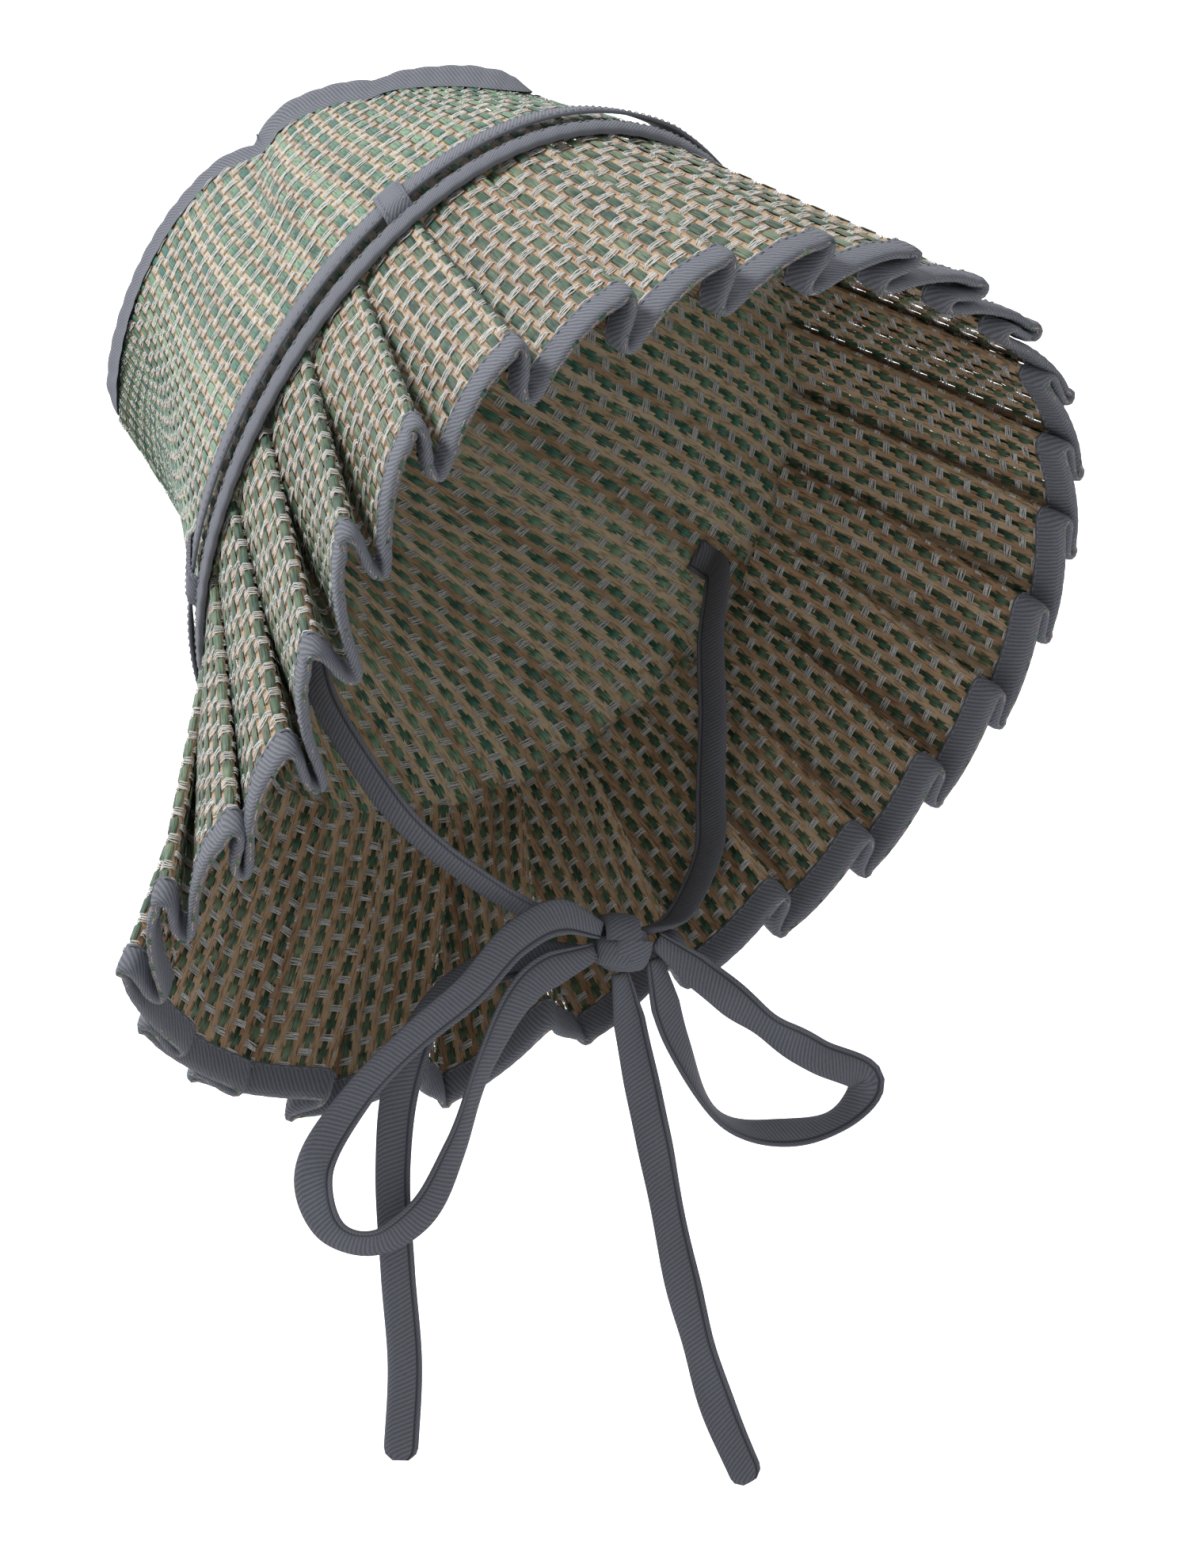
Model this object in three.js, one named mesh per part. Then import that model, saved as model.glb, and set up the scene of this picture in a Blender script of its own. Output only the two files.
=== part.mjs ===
import * as THREE from 'three';

// Pleated straw sun hat, worn tilted back, with ribbon ties in a bow under the chin.
// Millimetres, +Z up, front towards -Y, origin at the centre of the head opening.

// Head opening and crown
const half_length = 97;
const half_width = 85.7;
const saddle = -10.5;
const crown_height = 131.4;
const ridge_lean = -39.5;
const crown_wall = 1.6;
const crown_foot = 0.6;
const wall_slope = 0.4;
const seam_from = 0.36;
const seam_to = 1.1;
const wall_bow = 4;
const tilt_back = 0.957;
const roll_left = 0.225;

// Brim pleats
const pleats = 28;
const first_pleat = -0.3662;
const brim_length = 92.5;
const pleat_return = 14;
const pleat_face = 34.6;
const seam_depth = 7;
const edge_depth = 10;
const straw = 1.2;
const brim_foot = 2;
const face_bow = 1.1;

// Bindings, tape and keeper loops
const edge_band = 9;
const edge_thick = 2.2;
const edge_gap = 2;
const gap = 0.3;
const seam_band = 3.6;
const seam_thick = 1.6;
const fin_height = 6;
const fin_thick = 3;
const scallop = 0.8;
const tape_from = 6.6;
const tape_width = 9.5;
const tape_thick = 1;
const tape_off = 0.7;
const keeper_width = 8;
const keeper_turn = 0.56;

// Ribbon ties
const ribbon_width = 9;
const ribbon_thick = 1.6;
const gather_length = 24;
const knot_half = 7;
const knot_deep = 5.5;
const bow_turn = -0.52;

// One row per 36 degrees round the opening, from the front towards the left:
// flare is the angle below level in degrees, lean the sideways sweep as a share of brim length.
const brim_rows = [
  { flare: 84, lean: 0.04 },
  { flare: 76, lean: 0.036 },
  { flare: 77, lean: -0.054 },
  { flare: 86, lean: 0.017 },
  { flare: 86, lean: 0.206 },
  { flare: 54, lean: 0.42 },
  { flare: 46, lean: 0.03 },
  { flare: 71, lean: -0.242 },
  { flare: 70, lean: -0.244 },
  { flare: 83, lean: -0.131 },
];

const worn = new THREE.Matrix4().makeRotationFromEuler(new THREE.Euler(-tilt_back, roll_left, 0, 'XYZ'));
const turn = Math.PI * 2;

function vec(x, y, z) {
  return new THREE.Vector3(x, y, z);
}

function along(base, ...steps) {
  const out = base.clone();
  for (const [direction, amount] of steps) out.addScaledVector(direction, amount);
  return out;
}

// Smooth closed curve through the brim rows
function row_value(name, azimuth) {
  const place = ((azimuth / turn) % 1 + 1) % 1 * brim_rows.length;
  const i = Math.floor(place);
  const f = place - i;
  const at = (k) => brim_rows[(i + k + brim_rows.length) % brim_rows.length][name];
  const [a, b, c, d] = [at(-1), at(0), at(1), at(2)];
  return b + 0.5 * f * (c - a + f * (2 * a - 5 * b + 4 * c - d + f * (3 * (b - c) + d - a)));
}

// Azimuth at a share of the way round the head opening, by arc length
const arc_steps = 720;
const arc = [0];
for (let i = 1; i <= arc_steps; i++) {
  const a = (i - 0.5) / arc_steps * turn;
  arc.push(arc[i - 1] + Math.hypot(half_width * Math.cos(a), half_length * Math.sin(a)));
}
function azimuth_at(share) {
  const whole = Math.floor(share);
  const want = (share - whole) * arc[arc_steps];
  let i = 1;
  while (i < arc_steps && arc[i] < want) i++;
  const f = (want - arc[i - 1]) / (arc[i] - arc[i - 1]);
  return (whole + (i - 1 + f) / arc_steps) * turn;
}

// The head opening's rim: place, outward and sideways directions
function rim(azimuth) {
  const s = Math.sin(azimuth);
  const c = Math.cos(azimuth);
  const out = vec(s / half_width, -c / half_length, 0).normalize();
  return {
    place: vec(half_width * s, -half_length * c, -saddle / 2 * Math.cos(2 * azimuth)),
    out,
    side: vec(-out.y, out.x, 0),
  };
}

// A pleat's outer fold at a distance down the brim
function outer_fold(k, down) {
  const azimuth = azimuth_at(first_pleat + k / pleats);
  const { place, out, side } = rim(azimuth);
  const flare = THREE.MathUtils.degToRad(row_value('flare', azimuth));
  const fall = vec(0, 0, -1);
  const direction = along(vec(0, 0, 0), [out, Math.cos(flare)], [fall, Math.sin(flare)]);
  const face = along(vec(0, 0, 0), [out, Math.sin(flare)], [fall, -Math.cos(flare)]);
  const lean = row_value('lean', azimuth);
  return { place: along(place, [direction, down], [side, lean * down]), face };
}

// The middle line of one pleat across the brim: fold, return, inner fold, broad face
function pleat_line(k, down) {
  const here = outer_fold(k, down);
  const next = outer_fold(k + 1, down);
  const step = next.place.clone().sub(here.place);
  const pitch = step.length();
  const across = step.clone().divideScalar(pitch);
  const face = here.face.clone().addScaledVector(across, -here.face.dot(across)).normalize();
  const reach = (pleat_return ** 2 - pleat_face ** 2 + pitch ** 2) / (2 * pitch);
  const least = seam_depth + (edge_depth - seam_depth) * down / brim_length;
  const nose = least / 3;
  const limit = Math.sqrt(pleat_return ** 2 - least ** 2);
  const back = Math.min(limit, Math.max(-limit, reach));
  const depth = Math.sqrt(pleat_return ** 2 - back ** 2);
  const at = (x, y) => ({ place: along(here.place, [across, x], [face, y]), across, face });
  return [
    at(0, 0),
    at(0.3, -nose),
    at(back - 0.3, nose - depth),
    at(back, -depth),
    at((back + pitch) * 0.5, -depth * 0.5 + face_bow),
  ];
}

// A closed ring of pleated sheet: each row is a distance down the brim and a thickness
function pleated_ring(rows) {
  const grid = [];
  for (const { down, thick } of rows) {
    const line = [];
    for (let k = 0; k < pleats; k++) line.push(...pleat_line(k, down));
    const n = line.length;
    const normals = line.map((p, i) => {
      const a = line[(i + n - 1) % n].place;
      const b = line[(i + 1) % n].place;
      const away = b.clone().sub(a).normalize();
      const down_way = p.face.clone().cross(p.across);
      return away.cross(down_way).normalize();
    });
    const sign = normals[4].dot(line[4].face) > 0 ? 1 : -1;
    const side = (way) => line.map((p, i) => along(p.place, [normals[i], way * sign * thick / 2]));
    grid.push([side(1), side(-1)]);
  }
  return shell_mesh(grid);
}

// Closed skin from rows of an outer and an inner ring of points
function shell_mesh(grid) {
  const points = [];
  const faces = [];
  const n = grid[0][0].length;
  const rows = grid.length;
  for (const [outer, inner] of grid) points.push(...outer, ...inner);
  const id = (r, s, i) => r * 2 * n + s * n + (i % n);
  const quad = (a, b, c, d) => faces.push([a, b, c], [a, c, d]);
  for (let r = 0; r < rows - 1; r++) {
    for (let i = 0; i < n; i++) {
      quad(id(r, 0, i), id(r + 1, 0, i), id(r + 1, 0, i + 1), id(r, 0, i + 1));
      quad(id(r, 1, i), id(r, 1, i + 1), id(r + 1, 1, i + 1), id(r + 1, 1, i));
    }
  }
  for (let i = 0; i < n; i++) {
    quad(id(0, 0, i), id(0, 0, i + 1), id(0, 1, i + 1), id(0, 1, i));
    quad(id(rows - 1, 0, i), id(rows - 1, 1, i), id(rows - 1, 1, i + 1), id(rows - 1, 0, i + 1));
  }
  return { points, faces };
}

// Dents where the ridge has buckled: angle along the seam in radians, depth and half length in mm
const ridge_dents = [
  { at: 1.15, depth: 6, reach: 10 },
  { at: 0.8, depth: 2.5, reach: 7 },
];

// Crown: a tube round the opening, pressed flat along a seam from front to back
function crown_seam(azimuth) {
  const half = Math.acos(Math.cos(azimuth));
  const angle = seam_from + (Math.PI - seam_from - seam_to) * half / Math.PI;
  let height = crown_height * Math.sin(angle) - saddle / 2 * (1 - Math.sin(angle));
  for (const { at, depth, reach } of ridge_dents) {
    height -= depth * Math.exp(-(((angle - at) * crown_height / reach) ** 2));
  }
  return { angle, height };
}
function crown_point(azimuth, rise, inset) {
  const { angle, height } = crown_seam(azimuth);
  const foot = rim(azimuth).place.z;
  const wide = 1 - wall_slope * rise - (1 - wall_slope) * rise * rise;
  const x = Math.sin(azimuth) * (half_width - inset) * wide + ridge_lean * Math.sin(angle) * rise * rise;
  const bow = 1 + 4 * wall_bow / half_length * rise * (1 - rise);
  const y = -(half_length - inset) * (Math.cos(azimuth) * (1 - rise) * bow + Math.cos(angle) * rise);
  return vec(x, y, foot + (height - inset * 2 - foot) * rise);
}

// A place on or off the crown's wall at a height above the rim
function wall_point(azimuth, height, off) {
  const { place, out } = rim(azimuth);
  const rise = (height - crown_foot) / (crown_seam(azimuth).height - place.z);
  return along(crown_point(azimuth, rise, 0), [out, off]).add(vec(0, 0, crown_foot));
}

const crown_round = 72;
const cap_rise = 0.985;
function crown_shell() {
  const rises = [0, 0.12, 0.25, 0.38, 0.5, 0.62, 0.73, 0.83, 0.92, cap_rise];
  const points = [];
  const faces = [];
  const id = (skin, r, i) => (skin * rises.length + r) * crown_round + ((i + crown_round) % crown_round);
  for (const inset of [0, crown_wall]) {
    for (const rise of rises) {
      for (let i = 0; i < crown_round; i++) {
        const p = crown_point((i + 0.5) / crown_round * turn, rise, inset);
        p.z += crown_foot;
        points.push(p);
      }
    }
  }
  const last = rises.length - 1;
  const quad = (a, b, c, d) => faces.push([a, b, c], [a, c, d]);
  for (let i = 0; i < crown_round; i++) {
    for (let r = 0; r < last; r++) {
      quad(id(0, r, i), id(0, r, i + 1), id(0, r + 1, i + 1), id(0, r + 1, i));
      quad(id(1, r, i), id(1, r + 1, i), id(1, r + 1, i + 1), id(1, r, i + 1));
    }
    quad(id(0, 0, i), id(1, 0, i), id(1, 0, i + 1), id(0, 0, i + 1));
  }
  // The two sides meet along the ridge: skins joined across, left to right
  for (const skin of [0, 1]) {
    for (let i = 0; i < crown_round / 2; i++) {
      const a = id(skin, last, i);
      const b = id(skin, last, i + 1);
      const c = id(skin, last, crown_round - 2 - i);
      const d = id(skin, last, crown_round - 1 - i);
      if (i === crown_round / 2 - 1) continue;
      if (skin === 0) quad(a, b, c, d);
      else quad(a, d, c, b);
    }
  }
  return { points, faces };
}

// A band of rectangular section following a line of stations
function swept(stations, closed) {
  const points = [];
  const faces = [];
  const quad = (a, b, c, d) => faces.push([a, b, c], [a, c, d]);
  for (const s of stations) points.push(...s);
  const m = stations[0].length;
  const n = stations.length;
  for (let i = 0; i < (closed ? n : n - 1); i++) {
    const j = (i + 1) % n;
    for (let q = 0; q < m; q++) {
      const r = (q + 1) % m;
      quad(i * m + q, j * m + q, j * m + r, i * m + r);
    }
  }
  if (!closed) {
    for (let q = 1; q < m - 1; q++) {
      faces.push([0, q, q + 1]);
      faces.push([(n - 1) * m, (n - 1) * m + q + 1, (n - 1) * m + q]);
    }
  }
  return { points, faces };
}

// A band round the crown's wall between two heights
function rim_band(from, to, off, thick, steps) {
  const stations = [];
  for (let i = 0; i < steps; i++) {
    const at = (o, z) => wall_point(azimuth_at(i / steps), z, o);
    stations.push([at(off, from), at(off, to), at(off + thick, to), at(off + thick, from)]);
  }
  return swept(stations, true);
}

// Ridge binding: a fin standing on the crown's seam, with stitched scallops
const fin_steps = crown_round / 2 - 1;
const fin_taper = 3;
function ridge_fin() {
  const stations = [];
  for (let i = 0; i <= fin_steps; i++) {
    const a = (i + 0.5) / crown_round * turn;
    const foot = crown_point(a, cap_rise, 0).lerp(crown_point(-a, cap_rise, 0), 0.5);
    foot.z += crown_foot;
    const before = crown_point(a - 0.02, 1, 0);
    const after = crown_point(a + 0.02, 1, 0);
    const run = after.sub(before).normalize();
    const side = vec(1, 0, 0).addScaledVector(run, -run.x).normalize();
    const up = side.clone().cross(run).normalize();
    const near = Math.min(i, fin_steps - i) / fin_taper;
    const high = (fin_height + (i % 2 ? scallop : 0)) * Math.min(1, 0.45 + 0.55 * near);
    const low = gap;
    const half = fin_thick / 2;
    stations.push([
      along(foot, [side, -half], [up, low]),
      along(foot, [side, half], [up, low]),
      along(foot, [side, half], [up, high - 1]),
      along(foot, [side, half * 0.4], [up, high]),
      along(foot, [side, -half * 0.4], [up, high]),
      along(foot, [side, -half], [up, high - 1]),
    ]);
  }
  return swept(stations, false);
}

// Keeper loop: a staple of tape over the band
function keeper(azimuth) {
  const { side } = rim(azimuth);
  const low = tape_from - 1.4;
  const high = tape_from + tape_width + 1.4;
  const over = tape_off + tape_thick + gap;
  const line = [
    [0.35, low - 0.8, 1.35, low - 0.8],
    [0.35, low, 1.35, low + 0.2],
    [over, low + 0.9, over + 1, low + 0.3],
    [over, high - 0.9, over + 1, high - 0.3],
    [0.35, high, 1.35, high - 0.2],
    [0.35, high + 0.8, 1.35, high + 0.8],
  ];
  const stations = line.map(([oa, za, ob, zb]) => {
    const at = (o, z, s) => along(wall_point(azimuth, z, o), [side, s]);
    const h = keeper_width / 2;
    return [at(oa, za, -h), at(oa, za, h), at(ob, zb, h), at(ob, zb, -h)];
  });
  return swept(stations, false);
}

// Ties, in the upright frame: centre lines by hand
const knot_place = vec(0, -33.2, -116);
const bow_across = vec(Math.cos(bow_turn), Math.sin(bow_turn), 0);
const bow_front = vec(Math.sin(bow_turn), -Math.cos(bow_turn), 0);
const from_knot = ([across, front, up]) =>
  along(knot_place, [bow_across, across], [bow_front, front]).add(vec(0, 0, up));

const bow_loop_right_line = [
  [-7.7, 3.5, 2.5], [-20, 6, 5], [-33, 8, -1], [-46, 9, -14], [-60, 9, -25], [-74, 8, -39], [-84, 6, -57],
  [-79, 4, -70], [-67, 2, -73], [-54, 1, -66], [-45, 0, -51], [-37, 0, -30], [-25, 0, -11], [-7.7, 0.5, -2.5],
];
const bow_loop_left_line = [
  [8, 3.5, 0.5], [23, 6, -10], [36, 7, -19], [52, 7, -27], [68, 5, -33], [63, 1, -42], [48, -2, -46],
  [30, -3, -43], [17, -2, -24], [9, 0.3, -3.8],
];
const tail_right_line = [
  [-7.4, -3, -3], [-30, -7, -6], [-46, -8, -16], [-55, -8, -34], [-58, -7, -55], [-57, -6, -80],
  [-55, -6, -102], [-56, -6, -124],
];
const tail_left_line = [
  [1, -2.5, -7.4], [7, -5, -28], [12, -5, -49], [19, -4, -82], [28, -3, -112], [37, -2, -132],
];
const strap_right_line = [
  [-74.3, 23.4, 12.6], [-75.9, 19.5, 9.8], [-74.8, 12.9, 5.4], [-74, 11, -22], [-73, 9, -42], [-71, 6, -60],
  [-66, 0, -74], [-56, -8, -90], [-39, -14, -101], [-19.5, -20.5, -109.5], [-4.7, -26.5, -112.5],
];
const strap_left_line = [
  [78, -8.3, -3.3], [78.2, -12.5, -6.2], [73.8, -17.9, -10.1], [65, -21, -30], [59, -25, -50], [51, -29, -72],
  [42, -34, -88], [31, -36, -100], [20, -36.5, -109], [7.4, -35.1, -113],
];

// A flat ribbon along a line, gathered narrower where an end enters the knot
function ribbon(line, steps, facing, facing_end, knotted) {
  const curve = new THREE.CatmullRomCurve3(line, false, 'centripetal');
  const places = curve.getSpacedPoints(steps);
  const reach = curve.getLength();
  const stations = places.map((p, i) => {
    const share = i / steps;
    const run = curve.getTangentAt(share);
    const way = facing.clone().lerp(facing_end, share);
    const flat = way.addScaledVector(run, -way.dot(run)).normalize();
    const wide = run.clone().cross(flat).normalize();
    const near = Math.min(knotted[0] ? share : 1, knotted[1] ? 1 - share : 1) * reach;
    const w = ribbon_width / 2 * Math.min(1, 0.5 + near / gather_length);
    const t = ribbon_thick / 2;
    const e = t * 0.6;
    const at = (a, b) => along(p, [wide, a], [flat, b]);
    return [
      at(w, -e), at(w, e), at(w - 1, t), at(1 - w, t), at(-w, e), at(-w, -e), at(1 - w, -t), at(w - 1, -t),
    ];
  });
  return swept(stations, false);
}

// Knot: a small rounded block of wrapped ribbon
function knot_shape() {
  const rings = 8;
  const around = 16;
  const points = [];
  const faces = [];
  const squared = (value) => Math.sign(value) * Math.sqrt(Math.abs(value));
  for (let r = 1; r < rings; r++) {
    const v = Math.PI * r / rings;
    const wide = Math.sqrt(Math.sin(v));
    for (let i = 0; i < around; i++) {
      const a = i / around * turn;
      const front = knot_deep * squared(Math.cos(v));
      points.push(from_knot([knot_half * wide * squared(Math.cos(a)), front, knot_half * wide * squared(Math.sin(a))]));
    }
  }
  const top = points.push(from_knot([0, knot_deep, 0])) - 1;
  const end = points.push(from_knot([0, -knot_deep, 0])) - 1;
  for (let i = 0; i < around; i++) {
    const j = (i + 1) % around;
    faces.push([top, i, j], [end, (rings - 2) * around + j, (rings - 2) * around + i]);
    for (let r = 0; r < rings - 2; r++) {
      const a = r * around + i;
      const b = r * around + j;
      faces.push([a, a + around, b + around], [a, b + around, b]);
    }
  }
  return { points, faces };
}

// Signed volume, used to turn a skin right side out
function volume({ points, faces }) {
  let sum = 0;
  for (const [a, b, c] of faces) sum += points[a].dot(points[b].clone().cross(points[c]));
  return sum / 6;
}

const hat = new THREE.Group();
hat.name = 'pleated_sun_hat';

const straw_green = [0.5, 0.6, 0.5];
const twill_grey = [0.36, 0.37, 0.42];

function add(name, shape, tint, roughness, turned) {
  const { points, faces } = shape;
  const right_way = volume(shape) > 0;
  const places = turned ? points.map((p) => p.clone().applyMatrix4(worn)) : points;
  const geometry = new THREE.BufferGeometry();
  geometry.setAttribute('position', new THREE.Float32BufferAttribute(places.flatMap((p) => [p.x, p.y, p.z]), 3));
  geometry.setIndex(faces.flatMap(([a, b, c]) => (right_way ? [a, b, c] : [a, c, b])));
  geometry.computeVertexNormals();
  const material = new THREE.MeshStandardMaterial({ color: new THREE.Color(...tint), roughness });
  material.name = name;
  const mesh = new THREE.Mesh(geometry, material);
  mesh.name = name;
  hat.add(mesh);
}

const sheet_end = brim_length - edge_band - edge_gap;
const sheet = [0, 0.2, 0.4, 0.6, 0.8, 1].map((share) => ({
  down: brim_foot + (sheet_end - brim_foot) * share,
  thick: straw,
}));
const edging = [
  { down: sheet_end + edge_gap, thick: straw },
  { down: sheet_end + edge_gap + 1.5, thick: edge_thick },
  { down: brim_length - 0.8, thick: edge_thick },
  { down: brim_length, thick: straw },
];
add('crown', crown_shell(), straw_green, 0.8, true);
add('crown_seam_binding', ridge_fin(), twill_grey, 0.9, true);
add('brim', pleated_ring(sheet), straw_green, 0.8, true);
add('brim_edge_binding', pleated_ring(edging), twill_grey, 0.9, true);
add('brim_seam_binding', rim_band(-0.3, seam_band, gap, seam_thick, 64), twill_grey, 0.9, true);
add('band_tape', rim_band(tape_from, tape_from + tape_width, tape_off, tape_thick, 64), twill_grey, 0.9, true);

const keeper_places = [-turn / 4 + keeper_turn, -turn / 4 - keeper_turn, turn / 4 - keeper_turn, turn / 4 + keeper_turn];
keeper_places.forEach((azimuth, i) => add(`band_loop_${i + 1}`, keeper(azimuth), twill_grey, 0.9, true));

const straight = (list) => list.map(([x, y, z]) => vec(x, y, z));
const hung = (list) => list.map(from_knot);
const wall_right = vec(-0.975, 0.182, 0.128);
const wall_left = vec(0.975, -0.182, -0.128);
const chin_right = vec(-0.6, 0, -0.8);
const chin_left = vec(0.6, 0, -0.8);
const ties = {
  strap_right: [straight(strap_right_line), 15, wall_right, chin_right, [false, true]],
  strap_left: [straight(strap_left_line), 15, wall_left, chin_left, [false, true]],
  bow_loop_right: [hung(bow_loop_right_line), 16, bow_front, bow_front, [true, true]],
  bow_loop_left: [hung(bow_loop_left_line), 14, bow_front, bow_front, [true, true]],
  tail_right: [hung(tail_right_line), 10, bow_front, bow_front, [true, false]],
  tail_left: [hung(tail_left_line), 9, bow_front, bow_front, [true, false]],
};
for (const [name, plan] of Object.entries(ties)) add(name, ribbon(...plan), twill_grey, 0.9, false);
add('knot', knot_shape(), twill_grey, 0.9, false);

export default hat;
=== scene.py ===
import bpy
import numpy as np
from mathutils import Matrix, Vector


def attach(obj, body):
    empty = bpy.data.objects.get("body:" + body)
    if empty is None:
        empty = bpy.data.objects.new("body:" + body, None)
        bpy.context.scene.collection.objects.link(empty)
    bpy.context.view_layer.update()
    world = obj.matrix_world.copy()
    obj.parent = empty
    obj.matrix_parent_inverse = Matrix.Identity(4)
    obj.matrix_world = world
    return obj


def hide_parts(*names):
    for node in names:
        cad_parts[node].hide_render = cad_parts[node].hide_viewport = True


# Pleated straw sun hat: woven crown and brim, bound edges, band tape and ribbon ties. Metres.

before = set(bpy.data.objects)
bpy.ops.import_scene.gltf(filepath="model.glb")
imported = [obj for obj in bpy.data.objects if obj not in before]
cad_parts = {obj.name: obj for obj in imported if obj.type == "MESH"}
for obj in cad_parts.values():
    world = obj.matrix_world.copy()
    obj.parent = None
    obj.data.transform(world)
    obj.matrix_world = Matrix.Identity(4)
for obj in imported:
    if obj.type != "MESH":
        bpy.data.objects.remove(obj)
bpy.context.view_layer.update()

MM = 0.001
TURN = 2 * np.pi

# Camera, at the photo's angle
CAMERA_PLACE = Vector((-0.7104, -0.4766, -0.1823))
CAMERA_BACK = Vector((-0.83744, -0.53200, -0.12516))
CAMERA_LENS = 103.2

scene = bpy.context.scene
camera_data = bpy.data.cameras.new("camera")
camera_data.sensor_fit = "HORIZONTAL"
camera_data.sensor_width = 36
camera_data.lens = CAMERA_LENS
camera_data.clip_start = 0.01
camera = bpy.data.objects.new("camera", camera_data)
scene.collection.objects.link(camera)
side_way = Vector((0, 0, 1)).cross(CAMERA_BACK).normalized()
up_way = CAMERA_BACK.cross(side_way).normalized()
turned = Matrix((side_way, up_way, CAMERA_BACK.normalized())).transposed().to_4x4()
camera.matrix_world = Matrix.Translation(CAMERA_PLACE) @ turned
scene.camera = camera

# Sizes of the hat, mm
HALF_LENGTH = 97
HALF_WIDTH = 85.7
SADDLE = -10.5
CROWN_HEIGHT = 131.4
RIDGE_LEAN = -39.5
WALL_SLOPE = 0.4
SEAM_FROM = 0.36
SEAM_TO = 1.1
WALL_BOW = 4
CROWN_FOOT = 0.6
TILT_BACK = 0.957
ROLL_LEFT = 0.225
PLEATS = 28
FIRST_PLEAT = -0.3662
BRIM_LENGTH = 92.5
PLEAT_RETURN = 14
PLEAT_FACE = 34.6
SEAM_DEPTH = 7
EDGE_DEPTH = 10
FACE_BOW = 2.3
EDGE_BAND = 9

# Per 36 degrees round the opening from the front towards the left:
# flare in degrees below level, sideways lean as a share of brim length
BRIM_ROWS = [
    (84, 0.04),
    (76, 0.036),
    (77, -0.054),
    (86, 0.017),
    (86, 0.206),
    (54, 0.42),
    (46, 0.03),
    (71, -0.242),
    (70, -0.244),
    (83, -0.131),
]

# Dents where the ridge has buckled: angle along the seam, depth and half length in mm
RIDGE_DENTS = [(1.15, 6, 10), (0.8, 2.5, 7)]

# Weave, mm: a green and a tan strip make a pair; each weft row floats over
# tan, green and tan, then dives under the next green, rows in brick order
PAIRS_PER_PLEAT = 11
CROWN_PAIRS = 112
GREEN_SHARE = 0.57
CROWN_ROW, BRIM_ROW = 5.0, 4.5
CROWN_YARN, BRIM_YARN = 0.8, 0.68
YARNS = 4
LIFT = 0.45
PAIR_WIDTH = 4.5

# The crown's straw stays nearly straight while its wall narrows to the ridge, so its strips
# drift towards the back: degrees round from the front and degrees of drift at the ridge
DRIFT = [(0, 0), (40, 2), (70, 20), (100, 38), (115, 38), (130, 30), (150, 17), (180, 0)]
DRIFT_BEND = 1.5


def rotation(tilt, roll):
    ct, st, cr, sr = np.cos(tilt), np.sin(tilt), np.cos(roll), np.sin(roll)
    about_x = np.array([[1, 0, 0], [0, ct, st], [0, -st, ct]])
    about_y = np.array([[cr, 0, sr], [0, 1, 0], [-sr, 0, cr]])
    return about_x @ about_y


WORN = rotation(TILT_BACK, ROLL_LEFT)


def unit(v):
    return v / np.maximum(np.linalg.norm(v, axis=-1, keepdims=True), 1e-9)


def row_value(column, azimuth):
    values = np.array([row[column] for row in BRIM_ROWS], float)
    n = len(values)
    place = np.mod(azimuth / TURN, 1) * n
    i = np.floor(place).astype(int)
    f = place - i
    a, b, c, d = (values[(i + k) % n] for k in (-1, 0, 1, 2))
    return b + 0.5 * f * (c - a + f * (2 * a - 5 * b + 4 * c - d + f * (3 * (b - c) + d - a)))


ARC_STEPS = 720
_mid = (np.arange(ARC_STEPS) + 0.5) / ARC_STEPS * TURN
_arc = np.concatenate([[0], np.cumsum(np.hypot(HALF_WIDTH * np.cos(_mid), HALF_LENGTH * np.sin(_mid)))])


def azimuth_at(share):
    share = np.asarray(share, float)
    whole = np.floor(share)
    return (whole + np.interp((share - whole) * _arc[-1], _arc, np.linspace(0, 1, ARC_STEPS + 1))) * TURN


def rim(azimuth):
    s, c = np.sin(azimuth), np.cos(azimuth)
    out = unit(np.stack([s / HALF_WIDTH, -c / HALF_LENGTH, 0 * s], -1))
    side = np.stack([-out[..., 1], out[..., 0], 0 * s], -1)
    place = np.stack([HALF_WIDTH * s, -HALF_LENGTH * c, -SADDLE / 2 * np.cos(2 * azimuth)], -1)
    return place, out, side


# The crown's middle surface: u is the share of the way round, v the share up the wall


def crown_seam(azimuth):
    half = np.arccos(np.clip(np.cos(azimuth), -1, 1))
    angle = SEAM_FROM + (np.pi - SEAM_FROM - SEAM_TO) * half / np.pi
    height = CROWN_HEIGHT * np.sin(angle) - SADDLE / 2 * (1 - np.sin(angle))
    for at, depth, reach in RIDGE_DENTS:
        height = height - depth * np.exp(-(((angle - at) * CROWN_HEIGHT / reach) ** 2))
    return angle, height


def crown_point(azimuth, rise, inset):
    angle, height = crown_seam(azimuth)
    foot = rim(azimuth)[0][..., 2]
    wide = 1 - WALL_SLOPE * rise - (1 - WALL_SLOPE) * rise * rise
    x = np.sin(azimuth) * (HALF_WIDTH - inset) * wide + RIDGE_LEAN * np.sin(angle) * rise * rise
    bow = 1 + 4 * WALL_BOW / HALF_LENGTH * rise * (1 - rise)
    y = -(HALF_LENGTH - inset) * (np.cos(azimuth) * (1 - rise) * bow + np.cos(angle) * rise)
    return np.stack([x, y, foot + (height - 2 * inset - foot) * rise], -1)


# A grid of points with a smooth lookup: rows down or up the cloth, columns round it


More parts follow.
